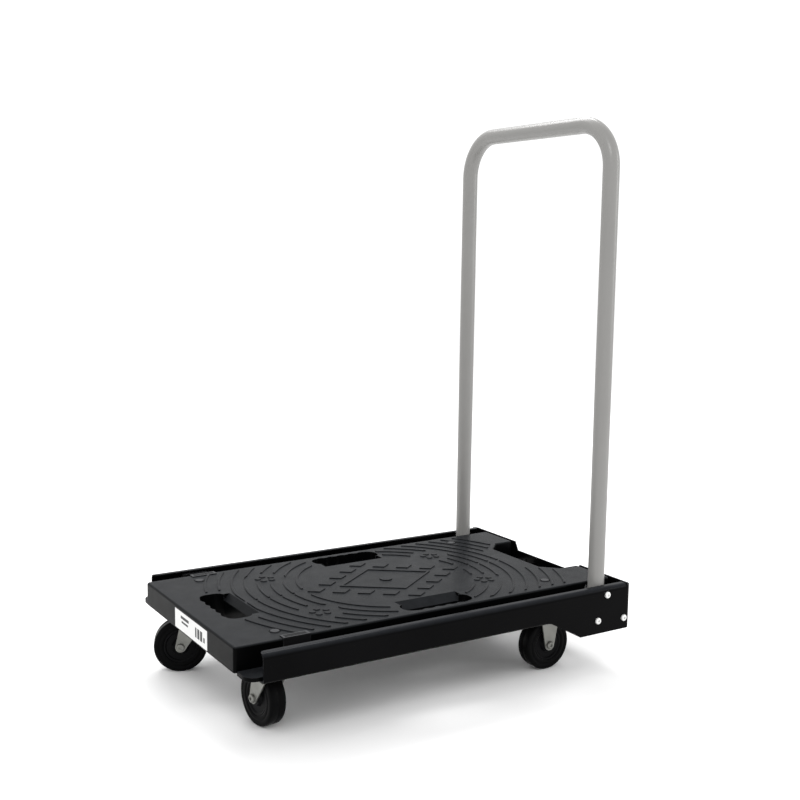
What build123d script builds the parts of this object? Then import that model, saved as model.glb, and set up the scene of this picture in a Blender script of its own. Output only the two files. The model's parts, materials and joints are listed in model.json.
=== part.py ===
"""Folding platform cart: moulded deck, pressed side rails, fold-down tube handle, four casters.

Millimetres.  Origin on the floor under the middle of the deck, +X towards the handle, +Z up.
The person pushing stands beyond +X and looks along -X, so the left side of the cart is -Y.
"""
from build123d import *
from math import atan2, cos, hypot, radians, sin, sqrt
import os

# ---- driving dimensions ----
FRONT_X = -320.0            # front face of the deck
REAR_X = 320.0              # rear face of the crossbar
DECK_REAR_X = 312.0
DECK_HALF_WIDTH = 162.5
DECK_TOP = 138.0
SKIRT_BOTTOM = 104.0
LEDGE_BOTTOM = 100.5        # underside of the side ledges, on the rail flanges
CASTER_FACE = 101.0         # underside of the caster pads
TOP_SKIN = 4.0
WALL = 3.5
RELIEF = 1.3                # height of the grip ribs

PATTERN_X = 3.0             # centre of the grip pattern
RING_FIRST = 138.5
RING_PITCH = 19.6
RING_COUNT = 8
RIB_WIDTH = 3.8
PATTERN_HALF_WIDTH = 150.9

RAIL_OUTER = 203.0
RAIL_FRONT_X = -298.0
RAIL_BOTTOM = 98.5
SHEET = 2.0
RAIL_BEND = 8.0
LIP_EDGE = 189.4
FLANGE_EDGE = 166.0
GUSSET_START_X = 165.0
GUSSET_FULL_X = 221.0
GUSSET_BOTTOM = 68.3

TUBE_R = 12.5
TUBE_WALL = 1.5
LEG_Y = 176.5
HANDLE_TOP = 827.0          # centre of the push bar
HANDLE_BEND = 65.0
PIVOT_X = 271.4
PIVOT_Z = 126.6
TAIL = 42.0                 # from the pivot down to the end plug's face
STOP_X = 254.2
STOP_Z = 88.8
PEDAL_X = 306.0
PEDAL_Z = 85.6

BOLT_R = 3.0                # M6 shank
FIT = 0.05                  # radial running fit
HEAD_R = 5.0
NUT_FLATS = 10.0
NUT_HEIGHT = 5.0

WHEEL_R = 40.0
WHEEL_WIDTH = 25.0
CORE_R = 25.3
TRAIL = 29.0
FRONT_STEM = (-248.0, 131.0)
REAR_STEM = (212.0, 127.0)
FRONT_SWIVELS = {"front_left": 96.8, "front_right": 157.7}   # direction of trail, degrees from +X
FORK_GAP = 29.0             # between the fork's cheeks
FORK_SHEET = 2.3
AXLE_R = 4.0
SLEEVE_R = 6.0

CATCH_FRONT_X = -251.0
CATCH_REAR_X = -211.0
CATCH_INNER_Y = 151.0
CATCH_TOP_WIDTH = 12.2
CATCH_RIM = 1.2             # stays below the grip ribs

CATCH_MIDDLE_X = (CATCH_FRONT_X + CATCH_REAR_X) / 2
CATCH_LENGTH = CATCH_REAR_X - CATCH_FRONT_X - 0.6

CORNER_BEND = 8.0           # rear corner of the side rails
RETURN_EDGE = 173.0
REAR_WALL_TOP = 137.0
CROSSBAR_DIP = 122.7
CROSSBAR_FLANGE = 10.0
LAP_SHEET = 1.2
SCREW_R = 2.0
SCREW_Y = 180.0
RAIL_SCREW_X = (-280.0, -130.0, 20.0, 145.0)
REAR_SCREW_Y = 125.0
REAR_SCREW_Z = 120.0

HEAD_HEIGHT = 3.2
STOP_BUSH_END = 164.0
PIVOT_SLEEVE_R = 6.0
SLEEVE_HALF = 13.5
PLUG_FLANGE = 2.0
TAIL_SWEEP = hypot(TAIL, TUBE_R)
SHAFT_R = 8.0
SHAFT_HALF = 193.5
LATCH_HUB_R = 10.3
LATCH_NOSE_X = 286.5
LATCH_NOSE_Z = 80.0
PEDAL_FRONT_X = 261.0
PEDAL_DEPTH = 46.0
PEDAL_WIDTH = 96.0
PEDAL_PLATE_Z = 108.0
PEDAL_WEB_Y = 40.0
COIL_R = 9.6
WIRE = 1.8
COILS = 8
SPRING_Y = 43.0

PLATE_X, PLATE_Y = 72.0, 52.0
PLATE_PITCH_X, PLATE_PITCH_Y = 54.0, 32.0
PLATE_SHEET = 2.5
KINGPIN_R = 5.0
FORK_TOP = 90.3
FORK_DISC_R = 23.0
FORK_TIP_R = 8.0
FORK_TOP_FRONT, FORK_TOP_REAR = -15.0, 26.0
RACE_R = 17.0
RACE_HEIGHT = 2.1
RIGID_TIP_R = 8.5
RIGID_TOP_HALF = 20.0
AXLE_HEAD_R = 6.0
AXLE_HEAD_HEIGHT = 3.4
AXLE_NUT_HEIGHT = 6.5

LABEL_Y = -15.0
LABEL_Z = 119.0
LABEL_WIDTH = 118.0
LABEL_HEIGHT = 27.5
LABEL_THICK = 0.4           # depth of its recess
LABEL_SINK = 0.1            # its face below the deck's front face
PLUG_R = 6.8
PLUG_HEIGHT = 1.2

os.makedirs("parts", exist_ok=True)
SIDES = {"left": -1, "right": 1}
UPRIGHT = (Align.CENTER, Align.CENTER, Align.MIN)


def write(builder, name):
    """Label a finished piece and write its STEP file."""
    builder.part.label = name
    export_step(builder.part, f"parts/{name}.step")


# ---- deck ----
NOTCH_X = 253.0
NOTCH_HALF = 61.2
NOTCH_SIDE = 85.0
HOLE_FRONT = (-281.4, -242.3, 59.5)          # first x, last x, half length in y
HOLE_SIDE = (-52.0, 65.0, 118.5, 150.4)      # first x, last x, inner y, outer y
SIDE_LIP = 14.5                              # sloped grip lip inboard of each side hand-hole
FRONT_LIP = 9.0
LIP_DEPTH = 10.0
HOLE_CORNER = 14.0
SCALLOP_R = 13.0
SCALLOP_PITCH = 19.0
LEDGE_OUTER = 194.6
LEDGE_TOP = 106.0
LEDGE_REAR_X = 160.0
LEDGE_CORNER = 16.0
FRONT_CORNER, REAR_CORNER, TOP_EDGE = 4.0, 5.0, 3.0
RIB_SHEET = 2.6
PAD_LENGTH, PAD_WIDTH = 80.0, 57.0           # caster pads
PLUG_GROOVE = 1.2                            # width and depth of the groove around each hole plug


def deck_outline():
    """Plan of the deck with its rear foot notch."""
    notch_step = NOTCH_SIDE - NOTCH_HALF
    Polygon(
        (FRONT_X, -DECK_HALF_WIDTH), (DECK_REAR_X, -DECK_HALF_WIDTH), (DECK_REAR_X, -NOTCH_SIDE),
        (NOTCH_X + notch_step, -NOTCH_SIDE), (NOTCH_X, -NOTCH_HALF), (NOTCH_X, NOTCH_HALF),
        (NOTCH_X + notch_step, NOTCH_SIDE), (DECK_REAR_X, NOTCH_SIDE),
        (DECK_REAR_X, DECK_HALF_WIDTH), (FRONT_X, DECK_HALF_WIDTH), align=None)


def front_hole():
    """Plan of the front hand-hole, with finger scallops on its front edge."""
    x0, x1, half = HOLE_FRONT
    with Locations(((x0 + x1) / 2, 0)):
        RectangleRounded(x1 - x0, 2 * half, HOLE_CORNER)
    with Locations([(x0 + SCALLOP_R - 2.5, SCALLOP_PITCH * i) for i in (-2, -1, 0, 1, 2)]):
        Circle(SCALLOP_R)


def side_hole(side):
    """Plan of one side hand-hole, with finger scallops on its outer edge."""
    x0, x1, y0, y1 = HOLE_SIDE
    with Locations(((x0 + x1) / 2, side * (y0 + y1) / 2)):
        RectangleRounded(x1 - x0, y1 - y0, HOLE_CORNER)
    scallop_y = side * (y1 - SCALLOP_R + 2)
    with Locations([((x0 + x1) / 2 + SCALLOP_PITCH * i, scallop_y) for i in (-2, -1, 0, 1, 2)]):
        Circle(SCALLOP_R)


def lip_section(deep_edge, far_edge):
    """Section of the wedge that slopes the deck's top down into a hand-hole."""
    Polygon((far_edge, DECK_TOP), (deep_edge, DECK_TOP - LIP_DEPTH), (deep_edge, DECK_TOP + 5),
            (far_edge, DECK_TOP + 5), align=None)


FLOWERS = [(-158.0, 89.8), (-158.0, -89.8), (133.9, 76.0), (133.9, -76.0)]
FLOWER_CLEAR = 32.0
DIAMOND_X, DIAMOND_Y = 80.8, 58.7
PAD_STEP_X, PAD_STEP_Y = 30.0, 21.9
PAD_X, PAD_Y = 15.0, 11.0


def rhombus(half_x, half_y, mode=Mode.ADD):
    """Rhombus with its corners on the axes."""
    Polygon((half_x, 0), (0, half_y), (-half_x, 0), (0, -half_y), mode=mode)


with BuildPart() as rings:
    for n in range(RING_COUNT):
        with BuildSketch(Plane.XZ) as rib_section:
            with Locations((RING_FIRST + RING_PITCH * n - RIB_WIDTH / 2, RELIEF / 2)):
                Rectangle(RIB_WIDTH, RELIEF)
            chamfer(rib_section.vertices().group_by(Axis.Y)[-1], 0.7)
        revolve(axis=Axis.Z)
    last_r = RING_FIRST + RING_PITCH * RING_COUNT
    Box(2 * last_r, 2 * PATTERN_HALF_WIDTH, 8, mode=Mode.INTERSECT)
    # plain areas: centre line, side hand-holes, corner pads, front hand-hole, rear notch
    for low_x, high_x, half_width in ((-246, 246, 3.4), (-66, 66, last_r), (-148, -100, 16), (100, 148, 16),
                                      (-291.25, -233.25, 69.5), (226, 276, 69.5), (250, 290, NOTCH_SIDE)):
        with Locations(((low_x + high_x) / 2, 0, 0)):
            Box(high_x - low_x, 2 * half_width, 8, mode=Mode.SUBTRACT)
    with Locations([(x - PATTERN_X, y, 0) for x, y in FLOWERS]):
        Cylinder(FLOWER_CLEAR, 8, mode=Mode.SUBTRACT)

with BuildPart() as raised_pads:
    frame_inset = 1 - RIB_WIDTH * hypot(DIAMOND_X, DIAMOND_Y) / (DIAMOND_X * DIAMOND_Y)
    with BuildSketch():
        rhombus(DIAMOND_X, DIAMOND_Y)
        rhombus(DIAMOND_X * frame_inset, DIAMOND_Y * frame_inset, mode=Mode.SUBTRACT)
        for i in range(-4, 5):
            with Locations([(i * PAD_STEP_X, j * PAD_STEP_Y) for j in {4 - abs(i), abs(i) - 4}]):
                rhombus(PAD_X, PAD_Y)
        Circle(10)
    extrude(amount=RELIEF)
    chamfer(raised_pads.faces().group_by(Axis.Z)[-1].edges(), 0.5)

with BuildPart() as domes:
    for flower_x, flower_y in FLOWERS:
        with Locations((flower_x - PATTERN_X, flower_y, 0)):
            with PolarLocations(11.3, 5, 90):
                Cylinder(5.4, RELIEF, align=UPRIGHT)
    chamfer(domes.faces().filter_by(Axis.Z).group_by(Axis.Z)[-1].edges(), 1.1)

# The relief, the side ledges and the deck are one moulding; each is a node of its own.
with BuildPart() as grip_relief:
    with Locations((PATTERN_X, 0, DECK_TOP)):
        add(rings.part)
        add(raised_pads.part)
        add(domes.part)
write(grip_relief, "grip_relief")

for side_name, side in SIDES.items():
    with BuildPart() as deck_ledge:
        with BuildSketch(Plane.XY.offset(LEDGE_BOTTOM)) as ledge_plan:
            with Locations(((FRONT_X + 4 + LEDGE_REAR_X) / 2, side * (DECK_HALF_WIDTH + LEDGE_OUTER) / 2)):
                Rectangle(LEDGE_REAR_X - FRONT_X - 4, LEDGE_OUTER - DECK_HALF_WIDTH)
            outer_corners = ledge_plan.vertices().group_by(Axis.Y)[-1 if side > 0 else 0]
            fillet(outer_corners, LEDGE_CORNER)
            with Locations([(x, side * SCREW_Y) for x in RAIL_SCREW_X] + [(CATCH_MIDDLE_X, side * LEG_Y)]):
                Circle(SCREW_R, mode=Mode.SUBTRACT)
        extrude(amount=LEDGE_TOP - LEDGE_BOTTOM)
    write(deck_ledge, f"deck_ledge_{side_name}")

with BuildPart() as deck:
    with BuildSketch(Plane.XY.offset(SKIRT_BOTTOM)):
        deck_outline()
    extrude(amount=DECK_TOP - SKIRT_BOTTOM)
    fillet(deck.edges().filter_by(Axis.Z).group_by(Axis.X)[0], FRONT_CORNER)
    fillet(deck.edges().filter_by(Axis.Z).group_by(Axis.X)[-1], REAR_CORNER)
    fillet(deck.edges().group_by(Axis.Z)[-1], TOP_EDGE)
    with BuildSketch(Plane.XY.offset(SKIRT_BOTTOM)):
        deck_outline()
        offset(amount=-WALL, kind=Kind.INTERSECTION)
    extrude(amount=DECK_TOP - TOP_SKIN - SKIRT_BOTTOM, mode=Mode.SUBTRACT)
    # stiffening ribs under the skin
    rib_bottom = SKIRT_BOTTOM + 5
    rib_middle = (rib_bottom + DECK_TOP - 2) / 2
    rib_height = DECK_TOP - 2 - rib_bottom
    with Locations([(0, y, rib_middle) for y in (-84, -28, 28, 84)]):
        Box(2 * NOTCH_X - 6, RIB_SHEET, rib_height)
    with Locations([(x, 0, rib_middle) for x in (-218, -160, -102, 0, 102, 160, 225)]):
        Box(RIB_SHEET, 2 * DECK_HALF_WIDTH - 4, rib_height)
    # caster pads
    for stem_x, stem_y in (FRONT_STEM, REAR_STEM):
        with Locations([(stem_x, side * stem_y, CASTER_FACE) for side in (-1, 1)]):
            Box(PAD_LENGTH, PAD_WIDTH, DECK_TOP - 2 - CASTER_FACE, align=UPRIGHT)
    # walls around the hand-holes
    with BuildSketch(Plane.XY.offset(SKIRT_BOTTOM)):
        x0, x1, half = HOLE_FRONT
        with Locations(((x0 + x1 + FRONT_LIP) / 2, 0)):
            RectangleRounded(x1 - x0 + FRONT_LIP + 2 * WALL + 4, 2 * half + 2 * WALL, HOLE_CORNER)
    extrude(amount=DECK_TOP - 2 - SKIRT_BOTTOM)
    with BuildSketch(Plane.XY.offset(rib_bottom)):
        x0, x1, y0, y1 = HOLE_SIDE
        for side in (-1, 1):
            with Locations(((x0 + x1) / 2, side * (y0 + y1 - SIDE_LIP) / 2)):
                RectangleRounded(x1 - x0 + 2 * WALL, y1 - y0 + SIDE_LIP + 2 * WALL + 4, HOLE_CORNER)
    extrude(amount=rib_height)
    with BuildSketch(Plane.XY.offset(SKIRT_BOTTOM - 5)):
        front_hole()
        for side in (-1, 1):
            side_hole(side)
    extrude(amount=DECK_TOP - SKIRT_BOTTOM + 10, mode=Mode.SUBTRACT)
    x0, x1, half = HOLE_FRONT
    with BuildSketch(Plane.XZ):
        lip_section(x1 - 0.5, x1 + FRONT_LIP)
    extrude(amount=half - 8, both=True, mode=Mode.SUBTRACT)
    x0, x1, y0, y1 = HOLE_SIDE
    with BuildSketch(Plane.YZ.offset((x0 + x1) / 2)):
        for side in (-1, 1):
            lip_section(side * (y0 + 0.5), side * (y0 - SIDE_LIP))
    extrude(amount=(x1 - x0) / 2 - 6, both=True, mode=Mode.SUBTRACT)
    # seats for the tube saddles, windows for the pivot nuts, label recess
    for side in (-1, 1):
        with Locations(((CATCH_FRONT_X + CATCH_REAR_X) / 2, side * CATCH_INNER_Y, LEDGE_TOP)):
            Box(CATCH_REAR_X - CATCH_FRONT_X, 60, 60,
                align=(Align.CENTER, Align.MIN if side > 0 else Align.MAX, Align.MIN), mode=Mode.SUBTRACT)
        with Locations((PIVOT_X, side * (DECK_HALF_WIDTH - 4), PIVOT_Z - 1)):
            Box(22, 20, 15.2, mode=Mode.SUBTRACT)
    with Locations([(REAR_X - SHEET, side * REAR_SCREW_Y, REAR_SCREW_Z) for side in (-1, 1)]):
        Box(70, 14, 14, align=(Align.MAX, Align.CENTER, Align.CENTER))     # bosses for the rear screws
    # grooves around the hole plugs
    for stem_x, stem_y in (FRONT_STEM, REAR_STEM):
        with BuildSketch(Plane.XY.offset(DECK_TOP)):
            with Locations([(stem_x, side * stem_y) for side in (-1, 1)]):
                Circle(PLUG_R + PLUG_GROOVE)
                Circle(PLUG_R, mode=Mode.SUBTRACT)
        extrude(amount=-PLUG_GROOVE, mode=Mode.SUBTRACT)
    # pilot holes for the caster bolts and rear screws, and the label's recess
    for stem_x, stem_y in (FRONT_STEM, REAR_STEM):
        for side in (-1, 1):
            with Locations((stem_x, side * stem_y, CASTER_FACE - 1)):
                with GridLocations(PLATE_PITCH_X, PLATE_PITCH_Y, 2, 2):
                    Cylinder(BOLT_R, 20, align=UPRIGHT, mode=Mode.SUBTRACT)
    with Locations([(REAR_X, side * REAR_SCREW_Y, REAR_SCREW_Z) for side in (-1, 1)]):
        Cylinder(SCREW_R, 50, rotation=(0, 90, 0), mode=Mode.SUBTRACT)
    with Locations((FRONT_X, LABEL_Y, LABEL_Z)):
        Box(2 * LABEL_THICK, LABEL_WIDTH + 0.4, LABEL_HEIGHT + 0.4, mode=Mode.SUBTRACT)
write(deck, "deck")

with BuildPart() as rating_label:
    with Locations((FRONT_X + LABEL_THICK, LABEL_Y, LABEL_Z)):
        Box(LABEL_THICK - LABEL_SINK, LABEL_WIDTH, LABEL_HEIGHT,
            align=(Align.MAX, Align.CENTER, Align.CENTER))
write(rating_label, "rating_label")

with BuildPart() as deck_plugs:
    for stem_x, stem_y in (FRONT_STEM, REAR_STEM):
        with Locations([(stem_x, side * stem_y, DECK_TOP) for side in (-1, 1)]):
            Cylinder(PLUG_R, PLUG_HEIGHT, align=(Align.CENTER, Align.CENTER, Align.MIN))
    chamfer(deck_plugs.faces().filter_by(Axis.Z).group_by(Axis.Z)[-1].edges(), 0.8)
write(deck_plugs, "deck_plugs")


# ---- side rails and rear crossbar ----
def corner(sketch, u, v):
    """The sketch vertex nearest to a point in the sketch's own plane."""
    return sketch.vertices().sort_by_distance((u, v, 0))[0]


rail_top_inner = DECK_TOP - SHEET
rail_inner = RAIL_OUTER - SHEET
for side_name, side in SIDES.items():
    with BuildPart() as side_rail:
        # front run: folded channel with a bottom flange
        with BuildSketch(Plane.YZ.offset(RAIL_FRONT_X)) as channel:
            flange_top = RAIL_BOTTOM + SHEET
            outline = [(FLANGE_EDGE, RAIL_BOTTOM), (RAIL_OUTER, RAIL_BOTTOM), (RAIL_OUTER, DECK_TOP),
                       (LIP_EDGE, DECK_TOP), (LIP_EDGE, rail_top_inner), (rail_inner, rail_top_inner),
                       (rail_inner, flange_top), (FLANGE_EDGE, flange_top)]
            Polygon(*[(side * y, z) for y, z in outline], align=None)
            fillet(corner(channel, side * RAIL_OUTER, DECK_TOP), RAIL_BEND)
            fillet(corner(channel, side * rail_inner, rail_top_inner), RAIL_BEND - SHEET)
            fillet(corner(channel, side * RAIL_OUTER, RAIL_BOTTOM), 2 * SHEET)
            fillet(corner(channel, side * rail_inner, flange_top), SHEET)
        extrude(amount=GUSSET_START_X - RAIL_FRONT_X, dir=(1, 0, 0))
        # rear run: no flange, so that the leg's tail can hang below the ledge
        with BuildSketch(Plane.YZ.offset(GUSSET_START_X)) as rear_run:
            outline = [(RAIL_OUTER, RAIL_BOTTOM), (RAIL_OUTER, DECK_TOP), (LIP_EDGE, DECK_TOP),
                       (LIP_EDGE, rail_top_inner), (rail_inner, rail_top_inner), (rail_inner, RAIL_BOTTOM)]
            Polygon(*[(side * y, z) for y, z in outline], align=None)
            fillet(corner(rear_run, side * RAIL_OUTER, DECK_TOP), RAIL_BEND)
            fillet(corner(rear_run, side * rail_inner, rail_top_inner), RAIL_BEND - SHEET)
        extrude(amount=REAR_X - CORNER_BEND - GUSSET_START_X, dir=(1, 0, 0))
        with BuildSketch(Plane.XZ.offset(-side * rail_inner)):
            Polygon((GUSSET_START_X - 12, RAIL_BOTTOM + 4), (GUSSET_START_X - 12, RAIL_BOTTOM + 2.5),
                    (GUSSET_START_X, RAIL_BOTTOM), (GUSSET_FULL_X, GUSSET_BOTTOM),
                    (REAR_X - CORNER_BEND, GUSSET_BOTTOM), (REAR_X - CORNER_BEND, RAIL_BOTTOM + 4),
                    align=None)
        extrude(amount=SHEET, dir=(0, side, 0))
        # rear corner, turned in towards the crossbar
        with BuildSketch(Plane.XY.offset(GUSSET_BOTTOM)) as turned_corner:
            outline = [(REAR_X - CORNER_BEND, rail_inner), (REAR_X - SHEET, rail_inner),
                       (REAR_X - SHEET, RETURN_EDGE), (REAR_X, RETURN_EDGE), (REAR_X, RAIL_OUTER),
                       (REAR_X - CORNER_BEND, RAIL_OUTER)]
            Polygon(*[(x, side * y) for x, y in outline], align=None)
            fillet(corner(turned_corner, REAR_X, side * RAIL_OUTER), CORNER_BEND - 0.01)
            fillet(corner(turned_corner, REAR_X - SHEET, side * rail_inner), CORNER_BEND - SHEET - 0.01)
        extrude(amount=REAR_WALL_TOP - GUSSET_BOTTOM)
        # rounded front end of the lip and of the flange
        front_edges = side_rail.edges().filter_by(Axis.Z)
        front_edges = front_edges.filter_by_position(Axis.X, RAIL_FRONT_X - 1, RAIL_FRONT_X + 1)
        fillet(front_edges.sort_by_distance((RAIL_FRONT_X, side * LIP_EDGE, DECK_TOP))[0], 8)
        for bolt_x, bolt_z in ((PIVOT_X, PIVOT_Z), (STOP_X, STOP_Z), (PEDAL_X, PEDAL_Z)):
            with Locations((bolt_x, side * RAIL_OUTER, bolt_z)):
                Cylinder(BOLT_R, 12, rotation=(90, 0, 0), mode=Mode.SUBTRACT)
        with Locations([(x, side * SCREW_Y, RAIL_BOTTOM) for x in RAIL_SCREW_X]):
            Cylinder(SCREW_R, 8, mode=Mode.SUBTRACT)
        with Locations((CATCH_MIDDLE_X, side * LEG_Y, RAIL_BOTTOM)):
            Cylinder(SCREW_R, 8, mode=Mode.SUBTRACT)
    write(side_rail, f"side_rail_{side_name}")

with BuildPart() as rear_crossbar:
    with BuildSketch(Plane.YZ.offset(REAR_X - SHEET)):
        half = RETURN_EDGE - 0.2
        Polygon((-half, GUSSET_BOTTOM), (half, GUSSET_BOTTOM), (half, REAR_WALL_TOP),
                (NOTCH_SIDE, REAR_WALL_TOP), (NOTCH_SIDE - 8, CROSSBAR_DIP), (8 - NOTCH_SIDE, CROSSBAR_DIP),
                (-NOTCH_SIDE, REAR_WALL_TOP), (-half, REAR_WALL_TOP), align=None)
    extrude(amount=SHEET, dir=(1, 0, 0))
    with Locations((REAR_X - SHEET, 0, GUSSET_BOTTOM)):
        Box(CROSSBAR_FLANGE, 2 * half, SHEET, align=(Align.MAX, Align.CENTER, Align.MIN))
    # laps inside the rails' returns
    with Locations([(REAR_X - SHEET, side * (RETURN_EDGE + 4), GUSSET_BOTTOM + SHEET) for side in (-1, 1)]):
        Box(LAP_SHEET, 36, 38, align=(Align.MAX, Align.CENTER, Align.MIN))
    with Locations([(REAR_X, side * REAR_SCREW_Y, REAR_SCREW_Z) for side in (-1, 1)]):
        Cylinder(SCREW_R, 12, rotation=(0, 90, 0), mode=Mode.SUBTRACT)
        Cone(SCREW_R, 2 * SCREW_R, SHEET, rotation=(0, 90, 0), align=(Align.CENTER, Align.CENTER, Align.MAX),
             mode=Mode.SUBTRACT)
write(rear_crossbar, "rear_crossbar")


# ---- tube saddles that hold the folded handle ----
for side_name, side in SIDES.items():
    inward, outward = (Align.MIN, Align.MAX) if side > 0 else (Align.MAX, Align.MIN)
    with BuildPart() as catch:
        with Locations((CATCH_MIDDLE_X, side * (CATCH_INNER_Y + 0.3), LEDGE_TOP)):
            Box(CATCH_LENGTH, 37.6, DECK_TOP - LEDGE_TOP, align=(Align.CENTER, inward, Align.MIN))
        with Locations((CATCH_MIDDLE_X, side * 188, LEDGE_TOP)):
            Box(CATCH_LENGTH, 10, DECK_TOP - LEDGE_TOP - 6, align=(Align.CENTER, inward, Align.MIN))
        with Locations((CATCH_MIDDLE_X, side * LEG_Y, PIVOT_Z)):
            Cylinder(TUBE_R + 0.4, 60, rotation=(0, 90, 0), mode=Mode.SUBTRACT)
            Box(60, 2 * (TUBE_R + 0.4), 30, align=(Align.CENTER, Align.CENTER, Align.MIN), mode=Mode.SUBTRACT)
        with Locations((CATCH_MIDDLE_X, side * LEG_Y, LEDGE_TOP)):
            Cylinder(SCREW_R, 12, mode=Mode.SUBTRACT)
        with Locations((CATCH_MIDDLE_X, side * CATCH_INNER_Y, LEDGE_TOP + 14)):
            Box(14, 8, 12, mode=Mode.SUBTRACT)            # moulding pocket in the inner wall
        # raised rim with two ribs on the inner wall's top
        with Locations((CATCH_MIDDLE_X, side * (CATCH_INNER_Y + 0.3), DECK_TOP)):
            Box(CATCH_LENGTH, CATCH_TOP_WIDTH, CATCH_RIM, align=(Align.CENTER, inward, Align.MIN))
        for groove in range(3):
            groove_y = CATCH_INNER_Y + 2.8 + 2.9 * groove
            with Locations((CATCH_MIDDLE_X, side * groove_y, DECK_TOP + CATCH_RIM)):
                Box(CATCH_LENGTH - 7, 1.7, 1.6, align=(Align.CENTER, inward, Align.MAX), mode=Mode.SUBTRACT)
    write(catch, f"handle_catch_{side_name}")

with BuildPart() as catch_screws:
    with Locations([(CATCH_MIDDLE_X, side * LEG_Y, RAIL_BOTTOM) for side in (-1, 1)]):
        Cylinder(2 * SCREW_R, 2.4, align=(Align.CENTER, Align.CENTER, Align.MAX))
        Cylinder(SCREW_R, 13, align=UPRIGHT)
write(catch_screws, "catch_screws")

with BuildPart() as rail_screws:
    with Locations([(x, side * SCREW_Y, RAIL_BOTTOM) for x in RAIL_SCREW_X for side in (-1, 1)]):
        Cylinder(2 * SCREW_R, 2.4, align=(Align.CENTER, Align.CENTER, Align.MAX))
        Cylinder(SCREW_R, LEDGE_TOP - RAIL_BOTTOM - 0.5, align=UPRIGHT)
write(rail_screws, "rail_screws")

with BuildPart() as rear_screws:
    with Locations([(REAR_X, side * REAR_SCREW_Y, REAR_SCREW_Z) for side in (-1, 1)]):
        Cylinder(SCREW_R, 20, rotation=(0, -90, 0), align=UPRIGHT)
        Cone(SCREW_R, 2 * SCREW_R, SHEET, rotation=(0, 90, 0), align=(Align.CENTER, Align.CENTER, Align.MAX))
write(rear_screws, "rear_screws")


# ---- bolts through the rails ----
def through_side(side, x, z, y):
    """Plane on one side of the cart that faces outwards."""
    return Plane(origin=(x, side * y, z), x_dir=(1, 0, 0), z_dir=(0, side, 0))


BOLT_ENDS = {(PIVOT_X, PIVOT_Z): 156.0, (STOP_X, STOP_Z): 158.0, (PEDAL_X, PEDAL_Z): 165.0}
NUT_SEATS = {(PIVOT_X, PIVOT_Z): 161.9, (STOP_X, STOP_Z): STOP_BUSH_END, (PEDAL_X, PEDAL_Z): rail_inner}

with BuildPart() as frame_bolts:
    for side in (-1, 1):
        for (x, z), end_y in BOLT_ENDS.items():
            with Locations(through_side(side, x, z, RAIL_OUTER)):
                Cylinder(HEAD_R, HEAD_HEIGHT, align=UPRIGHT)
            with Locations(through_side(side, x, z, end_y)):
                Cylinder(BOLT_R, RAIL_OUTER - end_y, align=UPRIGHT)
    flat_faces = frame_bolts.faces().filter_by(Axis.Y).group_by(Axis.Y)
    for face in flat_faces[0] + flat_faces[-1]:
        fillet(face.edges(), 2.0)
    for side in (-1, 1):
        for (x, z), end_y in BOLT_ENDS.items():
            with Locations(through_side(side, x, z, RAIL_OUTER + HEAD_HEIGHT)):
                Cylinder(1.8, 1.6, align=(Align.CENTER, Align.CENTER, Align.MAX), mode=Mode.SUBTRACT)
write(frame_bolts, "frame_bolts")

with BuildPart() as frame_nuts:
    for side in (-1, 1):
        for (x, z), seat_y in NUT_SEATS.items():
            with BuildSketch(through_side(side, x, z, seat_y)):
                RegularPolygon(NUT_FLATS / 2, 6, major_radius=False, rotation=30)
                Circle(BOLT_R, mode=Mode.SUBTRACT)
            extrude(amount=-NUT_HEIGHT)
write(frame_nuts, "frame_nuts")


def collars(name, x, z, inner_y, outer_y, outer_r, bore_r):
    """One plain collar on each side of the cart."""
    with BuildPart() as collar:
        for side in (-1, 1):
            with BuildSketch(through_side(side, x, z, inner_y)):
                Circle(outer_r)
                Circle(bore_r, mode=Mode.SUBTRACT)
            extrude(amount=outer_y - inner_y)
    write(collar, name)


with BuildPart() as pivot_spacers:
    for side in (-1, 1):
        for inner_y, outer_y, outer_r in ((LEG_Y + SLEEVE_HALF + FIT, 196.0, 7.5),
                                          (196.0, rail_inner - 0.1, 4.2)):
            with BuildSketch(through_side(side, PIVOT_X, PIVOT_Z, inner_y)):
                Circle(outer_r)
                Circle(BOLT_R, mode=Mode.SUBTRACT)
            extrude(amount=outer_y - inner_y)
write(pivot_spacers, "pivot_spacers")
collars("pivot_washers", PIVOT_X, PIVOT_Z, 161.9, LEG_Y - SLEEVE_HALF - FIT, 6.5, BOLT_R)
collars("stop_bushes", STOP_X, STOP_Z, STOP_BUSH_END, rail_inner, 4.5, BOLT_R)


# ---- handle ----
tube_end_z = PIVOT_Z - TAIL + PLUG_FLANGE
with BuildPart() as handle_tube:
    with BuildLine(Plane.YZ.offset(PIVOT_X)) as handle_path:
        FilletPolyline((-LEG_Y, tube_end_z), (-LEG_Y, HANDLE_TOP), (LEG_Y, HANDLE_TOP), (LEG_Y, tube_end_z),
                       radius=HANDLE_BEND)
    with BuildSketch(Plane(origin=(PIVOT_X, -LEG_Y, tube_end_z), z_dir=(0, 0, 1))):
        Circle(TUBE_R)
        Circle(TUBE_R - TUBE_WALL, mode=Mode.SUBTRACT)
    sweep(path=handle_path.wires()[0])
    with Locations((PIVOT_X, 0, PIVOT_Z)):
        Cylinder(PIVOT_SLEEVE_R, 2 * LEG_Y + 40, rotation=(90, 0, 0), mode=Mode.SUBTRACT)
write(handle_tube, "handle_tube")
collars("pivot_sleeves", PIVOT_X, PIVOT_Z, LEG_Y - SLEEVE_HALF, LEG_Y + SLEEVE_HALF,
        PIVOT_SLEEVE_R, BOLT_R + FIT)

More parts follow.
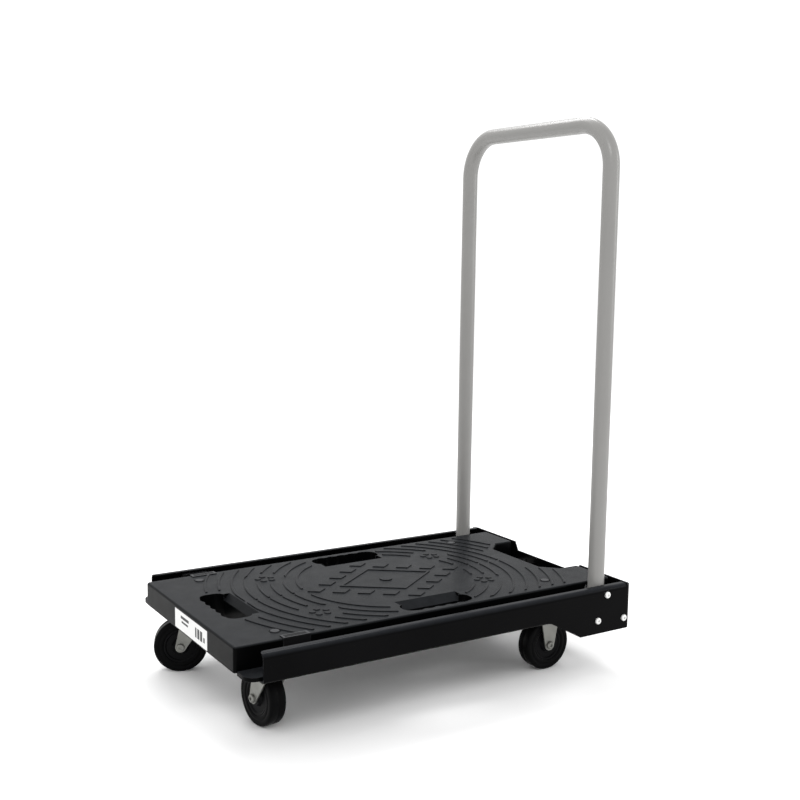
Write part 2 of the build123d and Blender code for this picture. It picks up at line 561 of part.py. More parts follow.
with BuildPart() as tube_plugs:
    with Locations([(PIVOT_X, side * LEG_Y, PIVOT_Z - TAIL) for side in (-1, 1)]):
        Cylinder(TUBE_R, PLUG_FLANGE, align=UPRIGHT)
        Cylinder(TUBE_R - TUBE_WALL, PLUG_FLANGE + 14, align=UPRIGHT)
    chamfer(tube_plugs.faces().group_by(Axis.Z)[0].edges(), 0.6)
    with Locations([(PIVOT_X, side * LEG_Y, PIVOT_Z - TAIL + 16) for side in (-1, 1)]):
        Cylinder(8.5, 12, align=(Align.CENTER, Align.CENTER, Align.MAX), mode=Mode.SUBTRACT)
write(tube_plugs, "tube_plugs")


# ---- foot pedal ----
with BuildPart() as pedal_shaft:
    with Locations((PEDAL_X, 0, PEDAL_Z)):
        Cylinder(SHAFT_R, 2 * SHAFT_HALF, rotation=(90, 0, 0))
    for side in (-1, 1):
        with Locations(through_side(side, PEDAL_X, PEDAL_Z, SHAFT_HALF)):
            Cylinder(BOLT_R + FIT, 30, align=(Align.CENTER, Align.CENTER, Align.MAX), mode=Mode.SUBTRACT)
write(pedal_shaft, "pedal_shaft")

for side_name, side in SIDES.items():
    with BuildPart() as latch_arm:
        with BuildSketch(Plane.XZ.offset(-side * LEG_Y)):
            with Locations((PEDAL_X, PEDAL_Z)):
                Circle(LATCH_HUB_R)
            Polygon((PEDAL_X + 1, PEDAL_Z - LATCH_HUB_R + 0.1), (LATCH_NOSE_X + 3, LATCH_NOSE_Z - 5),
                    (LATCH_NOSE_X, LATCH_NOSE_Z - 2), (LATCH_NOSE_X, LATCH_NOSE_Z + 8),
                    (PEDAL_X - 3, PEDAL_Z + LATCH_HUB_R - 0.5), align=None)
            with Locations((PIVOT_X, PIVOT_Z)):
                Circle(TAIL_SWEEP + 0.5, mode=Mode.SUBTRACT)
            with Locations((PEDAL_X, PEDAL_Z)):
                Circle(SHAFT_R, mode=Mode.SUBTRACT)
        extrude(amount=2.5, both=True)
    write(latch_arm, f"latch_arm_{side_name}")

with BuildPart() as foot_pedal:
    with Locations((PEDAL_FRONT_X, 0, PEDAL_PLATE_Z)):
        Box(PEDAL_DEPTH, PEDAL_WIDTH, 2.5, align=(Align.MIN, Align.CENTER, Align.MIN))
    fillet(foot_pedal.edges().filter_by(Axis.Z).group_by(Axis.X)[0], 6)
    with BuildSketch(Plane.XZ):
        Polygon((PEDAL_FRONT_X + 8, PEDAL_PLATE_Z), (PEDAL_X + 9, PEDAL_PLATE_Z), (PEDAL_X + 11, PEDAL_Z + 4),
                (PEDAL_X + 8, PEDAL_Z - 9), (PEDAL_X - 8, PEDAL_Z - 9), (PEDAL_X - 16, PEDAL_Z + 6),
                align=None)
        with Locations((PEDAL_X, PEDAL_Z)):
            Circle(SHAFT_R, mode=Mode.SUBTRACT)
    extrude(amount=PEDAL_WEB_Y + 1.5, both=True)
    with Locations((PEDAL_X - 20, 0, PEDAL_PLATE_Z)):
        Box(90, 2 * PEDAL_WEB_Y - 3, 60, align=(Align.CENTER, Align.CENTER, Align.MAX), mode=Mode.SUBTRACT)
write(foot_pedal, "foot_pedal")

with BuildPart() as pedal_tread:
    with Locations((PEDAL_FRONT_X + 2, 0, PEDAL_PLATE_Z + 2.5)):
        Box(PEDAL_DEPTH - 4, PEDAL_WIDTH - 4, 3.5, align=(Align.MIN, Align.CENTER, Align.MIN))
    fillet(pedal_tread.edges().filter_by(Axis.Z), 4)
    with Locations([(PEDAL_FRONT_X + 2 + 6.5 * i, 0, PEDAL_PLATE_Z + 6) for i in range(1, 7)]):
        Box(2.2, PEDAL_WIDTH - 14, 3, mode=Mode.SUBTRACT)
write(pedal_tread, "pedal_tread")

with BuildPart() as pedal_springs:
    for side in (-1, 1):
        with BuildSketch(Plane.XY.offset(PEDAL_Z)):
            with Locations([(PEDAL_X + COIL_R, side * (SPRING_Y + (WIRE - 0.1) * i)) for i in range(COILS)]):
                Circle(WIRE / 2)
        revolve(axis=Axis((PEDAL_X, 0, PEDAL_Z), (0, 1, 0)))
        end_y = side * (SPRING_Y + (WIRE - 0.1) * (COILS - 1))
        with Locations((PEDAL_X + COIL_R, end_y, PEDAL_Z)):
            Cylinder(WIRE / 2, 26, align=UPRIGHT)          # leg that bears on the crossbar
        with Locations((PEDAL_X - COIL_R, side * SPRING_Y, PEDAL_Z)):
            Cylinder(WIRE / 2, PEDAL_PLATE_Z - PEDAL_Z, align=UPRIGHT)
write(pedal_springs, "pedal_springs")


# ---- casters ----
def caster_frame(stem_x, stem_y, heading):
    """Plane at floor level under a caster's stem, x along its trail."""
    angle = radians(heading)
    return Plane(origin=(stem_x, stem_y, 0), x_dir=(cos(angle), sin(angle), 0), z_dir=(0, 0, 1))


def side_on(frame, along=0.0, height=0.0):
    """Upright plane along the wheel's middle: x along the trail, y up, normal along the axle."""
    origin = frame.origin + frame.x_dir * along + frame.z_dir * height
    return Plane(origin=origin, x_dir=frame.x_dir, z_dir=-frame.y_dir)


def cheeks(frame, outline, tip, tip_r):
    """Both cheeks of a fork: a tapered plate with a round tip, on each side of the wheel."""
    for near_face in (FORK_GAP / 2, -FORK_GAP / 2 - FORK_SHEET):
        with BuildSketch(side_on(frame).offset(near_face)) as cheek:
            Polygon(*outline, align=None)
            with Locations(tip):
                Circle(tip_r)
                Circle(AXLE_R, mode=Mode.SUBTRACT)
        extrude(cheek.sketch, amount=FORK_SHEET)


def tangent_cheek(tip, tip_r, top_z, top_x0, top_x1):
    """Corners of a cheek whose straight edges run tangent into its round tip."""
    points = []
    for top_x, sign in ((top_x0, -1), (top_x1, 1)):
        dx, dz = top_x - tip[0], top_z - tip[1]
        reach = hypot(dx, dz)
        angle = atan2(dz, dx) + sign * -atan2(sqrt(reach ** 2 - tip_r ** 2), tip_r)
        points.append((tip[0] + tip_r * cos(angle), tip[1] + tip_r * sin(angle)))
        points.append((top_x, top_z))
    return [points[0], points[1], points[3], points[2]]


def wheel_set(name, frame, trail):
    """Wheel core, tyre, sleeve, axle bolt and nut of one caster."""
    axle = side_on(frame, trail, WHEEL_R)
    section = Plane(origin=axle.origin, x_dir=frame.y_dir, z_dir=-frame.x_dir)
    turn = Axis(axle.origin, frame.y_dir)
    half = WHEEL_WIDTH / 2
    with BuildPart() as wheel_core:
        with BuildSketch(section) as core_section:
            Polygon((-half - 1.4, SLEEVE_R + FIT), (half + 1.4, SLEEVE_R + FIT), (half + 1.4, 10.5),
                    (half - 3.0, 13.0), (half - 3.0, 21.0), (half - 1.2, 23.0), (half - 1.2, CORE_R),
                    (1.2 - half, CORE_R), (1.2 - half, 23.0), (3.0 - half, 21.0), (3.0 - half, 13.0),
                    (-half - 1.4, 10.5), align=None)
        revolve(axis=turn)
    write(wheel_core, f"wheel_core_{name}")
    with BuildPart() as tyre:
        with BuildSketch(section) as tyre_section:
            with Locations((0, (WHEEL_R + CORE_R) / 2)):
                Rectangle(WHEEL_WIDTH, WHEEL_R - CORE_R)
            fillet(tyre_section.vertices().group_by(Axis.Y)[-1], 4.5)
            chamfer(tyre_section.vertices().group_by(Axis.Y)[0], 0.9)
        revolve(axis=turn)
    write(tyre, f"tyre_{name}")
    with BuildPart() as sleeve:
        with BuildSketch(axle):
            Circle(SLEEVE_R)
            Circle(AXLE_R, mode=Mode.SUBTRACT)
        extrude(amount=FORK_GAP / 2, both=True)
    write(sleeve, f"axle_sleeve_{name}")
    outer = FORK_GAP / 2 + FORK_SHEET
    with BuildPart() as axle_bolt:
        with BuildSketch(axle.offset(-outer)):
            Circle(AXLE_R)
        extrude(amount=2 * outer + AXLE_NUT_HEIGHT + 1)
        with BuildSketch(axle.offset(-outer)):
            Circle(AXLE_HEAD_R)
        extrude(amount=-AXLE_HEAD_HEIGHT)
        outermost = axle_bolt.faces().filter_by(GeomType.PLANE).sort_by(Axis(axle.origin, -axle.z_dir))[-1]
        fillet(outermost.edges(), 1.8)
        with BuildSketch(axle.offset(-outer - AXLE_HEAD_HEIGHT)):
            Circle(2.6)
        extrude(amount=1.4, mode=Mode.SUBTRACT)
    write(axle_bolt, f"axle_bolt_{name}")
    with BuildPart() as axle_nut:
        with BuildSketch(axle.offset(outer)):
            RegularPolygon(6.5, 6, major_radius=False)
            Circle(AXLE_R, mode=Mode.SUBTRACT)
        extrude(amount=AXLE_NUT_HEIGHT)
    write(axle_nut, f"axle_nut_{name}")


def mounting_plate():
    """Flat caster plate with its four bolt holes, drawn on the current sketch plane."""
    RectangleRounded(PLATE_X, PLATE_Y, 7)
    with GridLocations(PLATE_PITCH_X, PLATE_PITCH_Y, 2, 2):
        Circle(BOLT_R, mode=Mode.SUBTRACT)


plate_bottom = CASTER_FACE - PLATE_SHEET
for name, heading in FRONT_SWIVELS.items():
    side = SIDES[name.removeprefix("front_")]
    frame = caster_frame(FRONT_STEM[0], side * FRONT_STEM[1], heading)
    square_plane = Plane(origin=(FRONT_STEM[0], side * FRONT_STEM[1], plate_bottom))
    with BuildPart() as swivel_plate:
        with BuildSketch(square_plane):
            mounting_plate()
            Circle(KINGPIN_R, mode=Mode.SUBTRACT)
        extrude(amount=PLATE_SHEET)
        with BuildSketch(square_plane):
            Circle(RACE_R + 3)
            Circle(RACE_R - 3, mode=Mode.SUBTRACT)
        extrude(amount=-RACE_HEIGHT)
    write(swivel_plate, f"swivel_plate_{name}")
    with BuildPart() as kingpin:
        with BuildSketch(Plane(origin=(FRONT_STEM[0], side * FRONT_STEM[1], CASTER_FACE))):
            Circle(KINGPIN_R)
        extrude(amount=FORK_TOP - FORK_SHEET - FIT - CASTER_FACE)
        with BuildSketch(Plane(origin=(FRONT_STEM[0], side * FRONT_STEM[1], FORK_TOP - FORK_SHEET - FIT))):
            Circle(KINGPIN_R + 3)
        extrude(amount=-2.5)
        fillet(kingpin.edges().group_by(Axis.Z)[0], 1.5)
    write(kingpin, f"kingpin_{name}")
    with BuildPart() as swivel_fork:
        with BuildSketch(Plane(origin=frame.origin + (0, 0, FORK_TOP), x_dir=frame.x_dir, z_dir=(0, 0, -1))):
            Circle(FORK_DISC_R)
            with Locations(((FORK_TOP_FRONT + FORK_TOP_REAR) / 2, 0)):
                Rectangle(FORK_TOP_REAR - FORK_TOP_FRONT, FORK_GAP + 2 * FORK_SHEET)
            Circle(KINGPIN_R + FIT, mode=Mode.SUBTRACT)
        extrude(amount=FORK_SHEET)
        with BuildSketch(Plane(origin=frame.origin + (0, 0, FORK_TOP), x_dir=frame.x_dir, z_dir=(0, 0, 1))):
            Circle(RACE_R + 3)
            Circle(RACE_R - 3, mode=Mode.SUBTRACT)
        extrude(amount=RACE_HEIGHT)
        cheek = tangent_cheek((TRAIL, WHEEL_R), FORK_TIP_R, FORK_TOP, FORK_TOP_FRONT, FORK_TOP_REAR)
        cheeks(frame, cheek, (TRAIL, WHEEL_R), FORK_TIP_R)
    write(swivel_fork, f"swivel_fork_{name}")
    with BuildPart() as swivel_balls:
        with Locations((FRONT_STEM[0], side * FRONT_STEM[1], (FORK_TOP + plate_bottom) / 2)):
            with PolarLocations(RACE_R, 12):
                Sphere((plate_bottom - FORK_TOP) / 2 - RACE_HEIGHT - 0.03)
    write(swivel_balls, f"swivel_balls_{name}")
    wheel_set(name, frame, TRAIL)

for side_name, side in SIDES.items():
    name = f"rear_{side_name}"
    frame = caster_frame(REAR_STEM[0], side * REAR_STEM[1], 180)
    with BuildPart() as rigid_fork:
        with BuildSketch(Plane(origin=(REAR_STEM[0], side * REAR_STEM[1], plate_bottom))):
            mounting_plate()
        extrude(amount=PLATE_SHEET)
        cheek = tangent_cheek((0, WHEEL_R), RIGID_TIP_R, plate_bottom, -RIGID_TOP_HALF, RIGID_TOP_HALF)
        cheeks(frame, cheek, (0, WHEEL_R), RIGID_TIP_R)
    write(rigid_fork, f"rigid_fork_{name}")
    wheel_set(name, frame, 0)

with BuildPart() as caster_bolts:
    for stem_x, stem_y in (FRONT_STEM, REAR_STEM):
        for side in (-1, 1):
            with BuildSketch(Plane(origin=(stem_x, side * stem_y, plate_bottom))):
                with GridLocations(PLATE_PITCH_X, PLATE_PITCH_Y, 2, 2):
                    RegularPolygon(NUT_FLATS / 2, 6, major_radius=False)
            extrude(amount=-4)
            with BuildSketch(Plane(origin=(stem_x, side * stem_y, plate_bottom))):
                with GridLocations(PLATE_PITCH_X, PLATE_PITCH_Y, 2, 2):
                    Circle(BOLT_R)
            extrude(amount=PLATE_SHEET + 18)
write(caster_bolts, "caster_bolts")
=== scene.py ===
"""Folding platform cart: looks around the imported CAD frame. Metres, +X towards the handle, +Z up."""

import json
from math import cos, pi, radians, sin

import bmesh
import bpy
from mathutils import Matrix, Vector


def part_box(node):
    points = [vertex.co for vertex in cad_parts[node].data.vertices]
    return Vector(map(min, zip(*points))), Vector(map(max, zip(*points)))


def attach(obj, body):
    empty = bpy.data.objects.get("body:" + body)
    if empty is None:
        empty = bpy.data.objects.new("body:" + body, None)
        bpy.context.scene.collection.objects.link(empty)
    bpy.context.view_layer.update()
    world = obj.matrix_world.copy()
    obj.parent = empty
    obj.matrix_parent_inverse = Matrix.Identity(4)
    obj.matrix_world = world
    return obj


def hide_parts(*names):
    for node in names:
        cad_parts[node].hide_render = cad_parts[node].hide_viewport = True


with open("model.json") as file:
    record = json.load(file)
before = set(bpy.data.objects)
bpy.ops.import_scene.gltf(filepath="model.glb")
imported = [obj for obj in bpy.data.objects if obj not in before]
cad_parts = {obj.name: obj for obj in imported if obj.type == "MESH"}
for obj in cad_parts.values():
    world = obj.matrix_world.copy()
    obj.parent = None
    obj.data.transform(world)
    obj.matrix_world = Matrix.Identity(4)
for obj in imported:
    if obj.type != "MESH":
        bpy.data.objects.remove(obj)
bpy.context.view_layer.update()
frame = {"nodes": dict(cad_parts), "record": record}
nodes = frame["nodes"]
slot_of = {row["node"]: row["material_slot"] for row in frame["record"]["subparts"]}

# sizes repeated from the part, metres
WHEEL_R = 0.040
WHEEL_HALF = 0.0125
CORE_R = 0.0253
PEDAL_AXIS = (0.306, 0.0856)            # x and z of the pedal's pivot
SPRING_LEG_END = 0.1078                 # just under the pedal's plate
SPRING_COIL_R = 0.0096
SPRING_WIRE = 0.0018
SPRING_TURNS = 7
SPRING_Y = 0.043

# sizes of the looks only, metres
TYRE_SHOULDER = 0.0038
MOULD_LINE_HALF, MOULD_LINE_DEPTH = 0.0004, 0.00015
LATHE_SEGMENTS = 96
SPRING_STEPS = 32                       # points per turn of wire
SPRING_GAP = 1.02                       # pitch over wire
PRINT_DEPTH, PRINT_BEVEL = 0.00006, 0.00002

# noise scales shared by the finishes
SMUDGE_SCALE = 34.0
WEAR_AND_HIGHLIGHT_SCALE = 190.0
TOP_SHEEN_SCALE = 60.0
COAT_ROUGHNESS = 0.12


# ---- materials ----
class Nodes:
    """Short way to build a node material."""

    def __init__(self, name):
        self.material = bpy.data.materials.new(name)
        self.material.use_nodes = True
        self.tree = self.material.node_tree
        self.tree.nodes.clear()
        output = self.add("ShaderNodeOutputMaterial")
        self.shader = self.add("ShaderNodeBsdfPrincipled")
        self.link(self.shader.outputs[0], output.inputs[0])
        coords = self.add("ShaderNodeTexCoord")
        self.coords = coords.outputs["Object"]
        self.normal = coords.outputs["Normal"]

    def add(self, kind, **values):
        node = self.tree.nodes.new(kind)
        for key, value in values.items():
            setattr(node, key, value)
        return node

    def link(self, source, target):
        self.tree.links.new(source, target)

    def noise(self, scale, detail, rough):
        """Noise in object space."""
        node = self.add("ShaderNodeTexNoise")
        node.inputs["Scale"].default_value = scale
        node.inputs["Detail"].default_value = detail
        node.inputs["Roughness"].default_value = rough
        self.link(self.coords, node.inputs["Vector"])
        return node.outputs["Fac"]

    def ramp(self, factor, stops):
        """Colour ramp; each stop is (position, grey or rgb)."""
        node = self.add("ShaderNodeValToRGB")
        elements = node.color_ramp.elements
        while len(elements) < len(stops):
            elements.new(0.5)
        for element, (position, colour) in zip(elements, stops):
            element.position = position
            rgb = colour if isinstance(colour, tuple) else (colour, colour, colour)
            element.color = (*rgb, 1)
        self.link(factor, node.inputs[0])
        return node.outputs[0]

    def spread(self, value, from_min, from_max, to_min, to_max):
        """Clamped map from one range to another."""
        node = self.add("ShaderNodeMapRange", clamp=True)
        node.inputs["From Min"].default_value = from_min
        node.inputs["From Max"].default_value = from_max
        node.inputs["To Min"].default_value = to_min
        node.inputs["To Max"].default_value = to_max
        self.link(value, node.inputs["Value"])
        return node.outputs[0]

    def wear_and_highlight_edge_mask(self, radius, low=0.02, high=0.30):
        """Mask of convex edges for edge wear and a painted edge highlight: where a rounded normal departs
        from the true one.
        """
        bevel = self.add("ShaderNodeBevel", samples=4)
        bevel.inputs["Radius"].default_value = radius
        geometry = self.add("ShaderNodeNewGeometry")
        dot = self.add("ShaderNodeVectorMath", operation="DOT_PRODUCT")
        self.link(bevel.outputs[0], dot.inputs[0])
        self.link(geometry.outputs["Normal"], dot.inputs[1])
        return self.spread(dot.outputs["Value"], 1 - low, 1 - high, 0, 1)

    def upward_mask(self, low, high):
        """Mask of faces that look up in the object's own frame."""
        split = self.add("ShaderNodeSeparateXYZ")
        self.link(self.normal, split.inputs[0])
        return self.spread(split.outputs["Z"], low, high, 0, 1)

    def multiply(self, a, b):
        """Product of two values, each a socket or a number."""
        node = self.add("ShaderNodeMath", operation="MULTIPLY")
        for socket, value in zip(node.inputs, (a, b)):
            if isinstance(value, (int, float)):
                socket.default_value = value
            else:
                self.link(value, socket)
        return node.outputs[0]

    def mix(self, factor, a, b):
        """Blend of two colours, each a socket or an rgb tuple."""
        node = self.add("ShaderNodeMix", data_type="RGBA")
        self.link(factor, node.inputs[0])
        for socket, value in zip((node.inputs[6], node.inputs[7]), (a, b)):
            if isinstance(value, tuple):
                socket.default_value = (*value, 1)
            else:
                self.link(value, socket)
        return node.outputs[2]

    def bump(self, height, strength, distance):
        """Fine relief on the whole surface."""
        node = self.add("ShaderNodeBump")
        node.inputs["Strength"].default_value = strength
        node.inputs["Distance"].default_value = distance
        self.link(height, node.inputs["Height"])
        self.link(node.outputs[0], self.shader.inputs["Normal"])


def tinted(colour, factor):
    """Colour made lighter or darker."""
    return tuple(min(1.0, c * factor) for c in colour)


def finish_material(name, colour, rough, variation, grain, metallic=0.0, coat=0.0, specular=0.5,
                    edge=None, top_sheen=None, blotch=9.0, rough_spread=0.06):
    """One procedural finish: colour drift, roughness drift and fine grain.

    grain is the bump's (scale, strength, distance), edge is the (radius, strength, colour) of edge wear with
    a painted edge highlight, and top_sheen is the colour of a painted sheen, painted light on faces that
    look up.
    """
    m = Nodes(name)
    drift = m.noise(blotch, 4.0, 0.55)
    base = m.ramp(drift, [(0.30, tinted(colour, 1 - variation)), (0.70, tinted(colour, 1 + variation))])
    # edge wear together with a painted highlight: convex edges mixed towards a lighter colour
    if edge:
        radius, strength, wear_and_highlight_colour = edge
        breakup = m.ramp(m.noise(WEAR_AND_HIGHLIGHT_SCALE, 4.0, 0.6), [(0.35, 0.25), (0.65, 1.0)])
        mask = m.multiply(m.multiply(m.wear_and_highlight_edge_mask(radius), breakup), strength)
        base = m.mix(mask, base, wear_and_highlight_colour)
    # painted light: a lighter sheen mixed onto faces that look up, broken up by noise
    if top_sheen:
        breakup = m.ramp(m.noise(TOP_SHEEN_SCALE, 4.0, 0.6), [(0.30, 0.70), (0.70, 1.0)])
        base = m.mix(m.multiply(m.upward_mask(0.30, 0.95), breakup), base, top_sheen)
    m.link(base, m.shader.inputs["Base Color"])
    smudge = m.noise(SMUDGE_SCALE, 5.0, 0.6)
    m.link(m.spread(smudge, 0, 1, rough - rough_spread, rough + rough_spread), m.shader.inputs["Roughness"])
    m.shader.inputs["Metallic"].default_value = metallic
    m.shader.inputs["Specular IOR Level"].default_value = specular
    if coat:
        m.shader.inputs["Coat Weight"].default_value = coat
        m.shader.inputs["Coat Roughness"].default_value = COAT_ROUGHNESS
    scale, strength, distance = grain
    m.bump(m.noise(scale, 3.0, 0.5), strength, distance)
    return m.material


# edge colours are edge wear with a painted edge highlight; the lighter colours for faces that look up are a
# painted sheen
FINISHES = {
    "deck_plastic": dict(colour=(0.0010, 0.0011, 0.0012), rough=0.32, variation=0.22, rough_spread=0.10,
                         grain=(1500, 0.40, 0.00025), edge=(0.0011, 0.70, (0.056, 0.058, 0.062)),
                         top_sheen=(0.0152, 0.0164, 0.0184), specular=0.025),
    "rail_paint": dict(colour=(0.0015, 0.0015, 0.0017), rough=0.22, variation=0.25, rough_spread=0.05,
                       grain=(420, 0.12, 0.0003), edge=(0.0012, 0.50, (0.040, 0.042, 0.048)),
                       top_sheen=(0.0150, 0.0162, 0.0190), specular=0.03),
    "handle_paint": dict(colour=(0.208, 0.205, 0.198), rough=0.34, variation=0.03, rough_spread=0.05,
                         grain=(460, 0.12, 0.0003), coat=0.10, blotch=6.0, specular=0.35),
    "caster_zinc": dict(colour=(0.20, 0.20, 0.185), rough=0.42, variation=0.16, rough_spread=0.10,
                        grain=(700, 0.16, 0.0002), edge=(0.0008, 0.45, (0.45, 0.45, 0.43)), metallic=0.70,
                        blotch=45.0),
    "fastener_zinc": dict(colour=(0.66, 0.66, 0.65), rough=0.32, variation=0.10, grain=(900, 0.12, 0.0001),
                          metallic=0.45, blotch=70.0),
    "spring_steel": dict(colour=(0.30, 0.30, 0.31), rough=0.36, variation=0.16, grain=(800, 0.12, 0.0001),
                         metallic=1.0, blotch=60.0),
    "tyre_rubber": dict(colour=(0.0024, 0.0024, 0.0026), rough=0.40, variation=0.30, rough_spread=0.10,
                        grain=(520, 0.20, 0.0003), specular=0.03, blotch=28.0),
    "tread_rubber": dict(colour=(0.006, 0.006, 0.006), rough=0.66, variation=0.20, grain=(620, 0.25, 0.0003),
                         specular=0.15),
    "wheel_plastic": dict(colour=(0.0030, 0.0030, 0.0034), rough=0.38, variation=0.18,
                          grain=(1200, 0.25, 0.0002), edge=(0.0009, 0.45, (0.030, 0.030, 0.032)),
                          specular=0.05),
    "plug_plastic": dict(colour=(0.0060, 0.0060, 0.0065), rough=0.38, variation=0.18,
                         grain=(1300, 0.25, 0.0002), edge=(0.0009, 0.70, (0.090, 0.092, 0.097)),
                         top_sheen=(0.034, 0.035, 0.038), specular=0.08),
    "nylon": dict(colour=(0.008, 0.008, 0.008), rough=0.46, variation=0.12, grain=(1400, 0.20, 0.0002),
                  specular=0.20),
    "label": dict(colour=(0.66, 0.66, 0.65), rough=0.40, variation=0.03, grain=(300, 0.05, 0.0001),
                  specular=0.3),
    "label_print": dict(colour=(0.012, 0.012, 0.012), rough=0.42, variation=0.10, grain=(900, 0.05, 0.0001),
                        specular=0.2),
}
MATERIALS = {name: finish_material(name, **values) for name, values in FINISHES.items()}


# ---- carried-over CAD nodes: material per slot, softened edges ----
EDGE_RADIUS = {"deck_plastic": 0.0005, "rail_paint": 0.0005, "caster_zinc": 0.0004,
               "fastener_zinc": 0.0003, "plug_plastic": 0.0004, "wheel_plastic": 0.0004,
               "tread_rubber": 0.0004}

for name, node in nodes.items():
    slot = slot_of[name]
    node.data.materials.clear()
    node.data.materials.append(MATERIALS[slot])
    if slot in EDGE_RADIUS:
        bevel = node.modifiers.new("edge", "BEVEL")
        bevel.width = EDGE_RADIUS[slot]
        bevel.segments = 2
        bevel.limit_method = "ANGLE"
        bevel.angle_limit = radians(38)
        bevel.harden_normals = True
        bevel.use_clamp_overlap = True


# ---- mesh helpers ----
def mesh_object(name, bm, material, smooth=True):
    """Object of its own from a bmesh, which it frees."""
    mesh = bpy.data.meshes.new(name)
    bmesh.ops.recalc_face_normals(bm, faces=bm.faces)
    bm.to_mesh(mesh)
    bm.free()
    for polygon in mesh.polygons:
        polygon.use_smooth = smooth
    obj = bpy.data.objects.new(name, mesh)
    bpy.context.scene.collection.objects.link(obj)
    mesh.materials.append(material)
    return obj


def lathe(profile):
    """Closed solid from (radius, along) points turned about the local Y axis."""
    bm = bmesh.new()
    rings = []
    for step in range(LATHE_SEGMENTS):
        angle = 2 * pi * step / LATHE_SEGMENTS
        rings.append([bm.verts.new((r * cos(angle), along, r * sin(angle))) for r, along in profile])
    for step in range(LATHE_SEGMENTS):
        ring, following = rings[step], rings[(step + 1) % LATHE_SEGMENTS]
        for i in range(len(profile)):
            j = (i + 1) % len(profile)
            bm.faces.new((ring[i], ring[j], following[j], following[i]))
    return bm


def ride_on(obj, body, slot, *replaced):
    """Body and replaced nodes of one piece; the slot argument is not used."""
    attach(obj, body)
    if replaced:
        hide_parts(*replaced)


# ---- tyres: rounded shoulders, step ring and a mould line ----
def tyre_profile():
    """(radius, along) points of one tyre's section, turned about the axle."""
    crown, shoulder, half = WHEEL_R, TYRE_SHOULDER, WHEEL_HALF
    points = [(CORE_R, -half + 0.0010), (CORE_R + 0.0012, -half + 0.0002), (CORE_R + 0.0035, -half)]
    points += [(CORE_R + 0.0055, -half), (CORE_R + 0.0062, -half + 0.0005), (CORE_R + 0.0070, -half)]
    for step in range(7):
        angle = radians(15 * step)
        points.append((crown - shoulder + shoulder * sin(angle), -half + shoulder - shoulder * cos(angle)))
    points += [(crown, -MOULD_LINE_HALF), (crown - MOULD_LINE_DEPTH, 0.0)]
    return points + [(r, -along) for r, along in reversed(points[:-1])]


def axle_frame(body):
    """Joint of a wheel: a point on its axle and the axle's direction."""
    joint = next(j for j in frame["record"]["behaviour"]["joints"] if j["child"] == body)
    return Vector(joint["pos_m"]), Vector(joint["axis"]).normalized()


for caster in ("front_left", "front_right", "rear_left", "rear_right"):
    centre, axle = axle_frame(f"wheel_{caster}")
    up = Vector((0, 0, 1))
    basis = Matrix((axle.cross(up).normalized(), axle, up)).transposed().to_4x4()
    tyre = mesh_object(f"tyre_{caster}_detail", lathe(tyre_profile()), MATERIALS["tyre_rubber"])
    tyre.data.transform(Matrix.Translation(centre) @ basis)
    ride_on(tyre, f"wheel_{caster}", "tyre_rubber", f"tyre_{caster}")


# ---- pedal springs: wound wire in place of plain rings ----
def wire(name, points, radius, material):
    """Round wire along straight runs between close points."""
    curve = bpy.data.curves.new(name, "CURVE")
    curve.dimensions = "3D"
    curve.bevel_depth = radius
    curve.bevel_resolution = 4
    curve.use_fill_caps = True
    spline = curve.splines.new("POLY")
    spline.points.add(len(points) - 1)
    for point, place in zip(spline.points, points):
        point.co = (*place, 1)
    obj = bpy.data.objects.new(name, curve)
    bpy.context.scene.collection.objects.link(obj)
    curve.materials.append(material)
    return obj


pedal_x, pedal_z = PEDAL_AXIS
spring_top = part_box("pedal_springs")[1][2]
half_turns = 2 * SPRING_TURNS - 1           # from the plate's side round to the crossbar's side
half_steps = SPRING_STEPS // 2
pitch = SPRING_WIRE * SPRING_GAP
springs = []
for side_name, side in (("left", -1), ("right", 1)):
    path = [(pedal_x - SPRING_COIL_R, side * SPRING_Y, SPRING_LEG_END)]
    for step in range(half_turns * half_steps + 1):
        angle = pi + pi * step / half_steps
        along = SPRING_Y + pitch * step / SPRING_STEPS
        path.append((pedal_x + SPRING_COIL_R * cos(angle), side * along,
                     pedal_z - SPRING_COIL_R * sin(angle)))
    path.append((pedal_x + SPRING_COIL_R, side * (SPRING_Y + pitch * half_turns / 2), spring_top))
    springs.append(wire(f"pedal_spring_{side_name}", path, SPRING_WIRE / 2, MATERIALS["spring_steel"]))
for spring in springs:
    ride_on(spring, "pedal", "spring_steel", "pedal_springs")

# ---- label: generic bars, no lettering ----
label_low, label_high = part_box("rating_label")
label_y = (label_low[1] + label_high[1]) / 2
label_z = (label_low[2] + label_high[2]) / 2
# across the label from +Y to -Y, rise, width, height
BARS = [(-0.022, 0.0062, 0.0300, 0.0042), (-0.022, -0.0004, 0.0240, 0.0030),
        (0.019, 0.0, 0.0050, 0.0140), (0.028, 0.0, 0.0075, 0.0140), (0.038, 0.0, 0.0075, 0.0140),
        (0.048, -0.0025, 0.0050, 0.0070)]
bars = bmesh.new()
for across, rise, width, height in BARS:
    made = bmesh.ops.create_cube(bars, size=1.0)["verts"]
    bmesh.ops.scale(bars, vec=(PRINT_DEPTH, width, height), verts=made)
    bmesh.ops.translate(bars, vec=(label_low[0], label_y - across, label_z + rise), verts=made)
bmesh.ops.bevel(bars, geom=bars.edges[:], offset=PRINT_BEVEL, segments=1, affect="EDGES")
label_print = mesh_object("label_print", bars, MATERIALS["label_print"], smooth=False)
ride_on(label_print, "platform", "label")

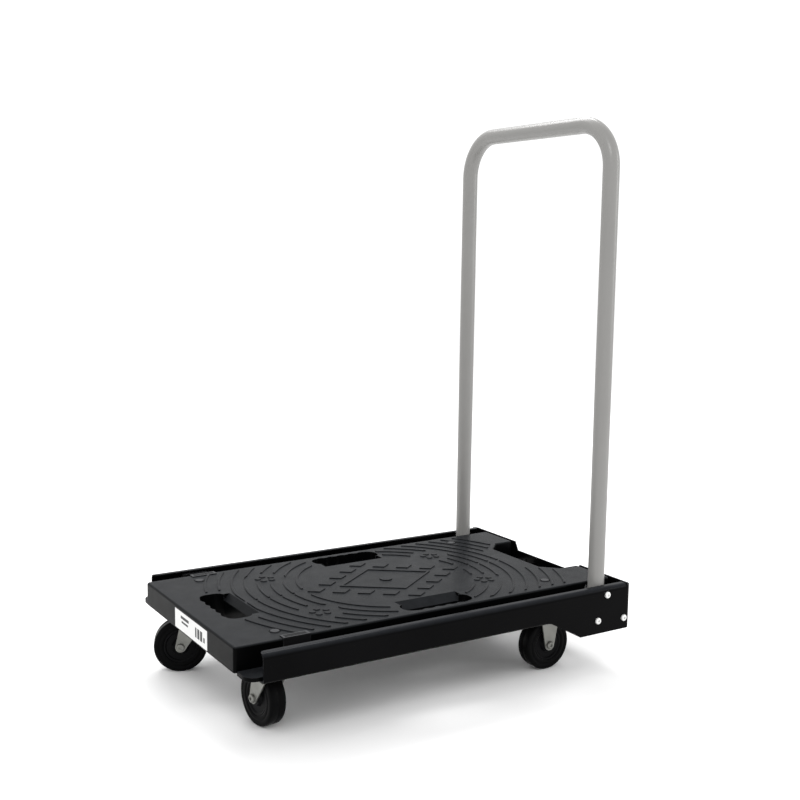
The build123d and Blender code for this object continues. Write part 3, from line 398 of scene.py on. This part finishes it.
# ---- camera, light, floor ----
CAMERA_PLACE = (-0.8709, -1.4312, 0.6411)
CAMERA_LENS = 50.66                     # millimetres
CAMERA_YAW, CAMERA_PITCH, CAMERA_ROLL = -32.027, 7.666, 0.766      # degrees; pitch is downwards
FLOOR_GAP = 0.0002                      # keeps the floor clear of the tyres

camera_data = bpy.data.cameras.new("camera")
camera_data.sensor_width = 36.0
camera_data.lens = CAMERA_LENS
camera_data.clip_start, camera_data.clip_end = 0.01, 50
camera = bpy.data.objects.new("camera", camera_data)
camera.rotation_mode = "QUATERNION"
camera.location = CAMERA_PLACE
turn = (Matrix.Rotation(radians(CAMERA_YAW), 3, "Z") @ Matrix.Rotation(radians(90 - CAMERA_PITCH), 3, "X")
        @ Matrix.Rotation(radians(CAMERA_ROLL), 3, "Z"))
camera.rotation_quaternion = turn.to_quaternion()
bpy.context.scene.collection.objects.link(camera)
bpy.context.scene.camera = camera

floor_bm = bmesh.new()
bmesh.ops.create_grid(floor_bm, x_segments=1, y_segments=1, size=30)
floor_material = finish_material("floor", colour=(0.93, 0.93, 0.93), rough=0.80, variation=0.004,
                                 grain=(40, 0.02, 0.0005), specular=0.2)
floor = mesh_object("floor", floor_bm, floor_material)
floor.location.z = -FLOOR_GAP


def area_light(name, place, target, size, power):
    """Rectangular studio light aimed at a point, power in watts."""
    light = bpy.data.lights.new(name, "AREA")
    light.shape = "RECTANGLE"
    light.size, light.size_y = size
    light.energy = power
    lamp = bpy.data.objects.new(name, light)
    lamp.location = place
    lamp.rotation_mode = "QUATERNION"
    lamp.rotation_quaternion = (Vector(target) - Vector(place)).to_track_quat("-Z", "Y")
    bpy.context.scene.collection.objects.link(lamp)


area_light("key", (-1.3, -1.9, 2.5), (0, 0, 0.2), (1.0, 1.0), 24)
area_light("top", (0.5, 1.4, 2.6), (0, 0, 0.1), (2.0, 1.0), 50)
area_light("right", (2.4, -1.6, 1.1), (0, 0, 0.3), (0.5, 1.6), 16)

world = bpy.data.worlds.new("world")
world.use_nodes = True
background = world.node_tree.nodes["Background"]
background.inputs["Color"].default_value = (1, 1, 1, 1)
background.inputs["Strength"].default_value = 1.15
bpy.context.scene.world = world
bpy.context.scene.view_settings.view_transform = "Standard"
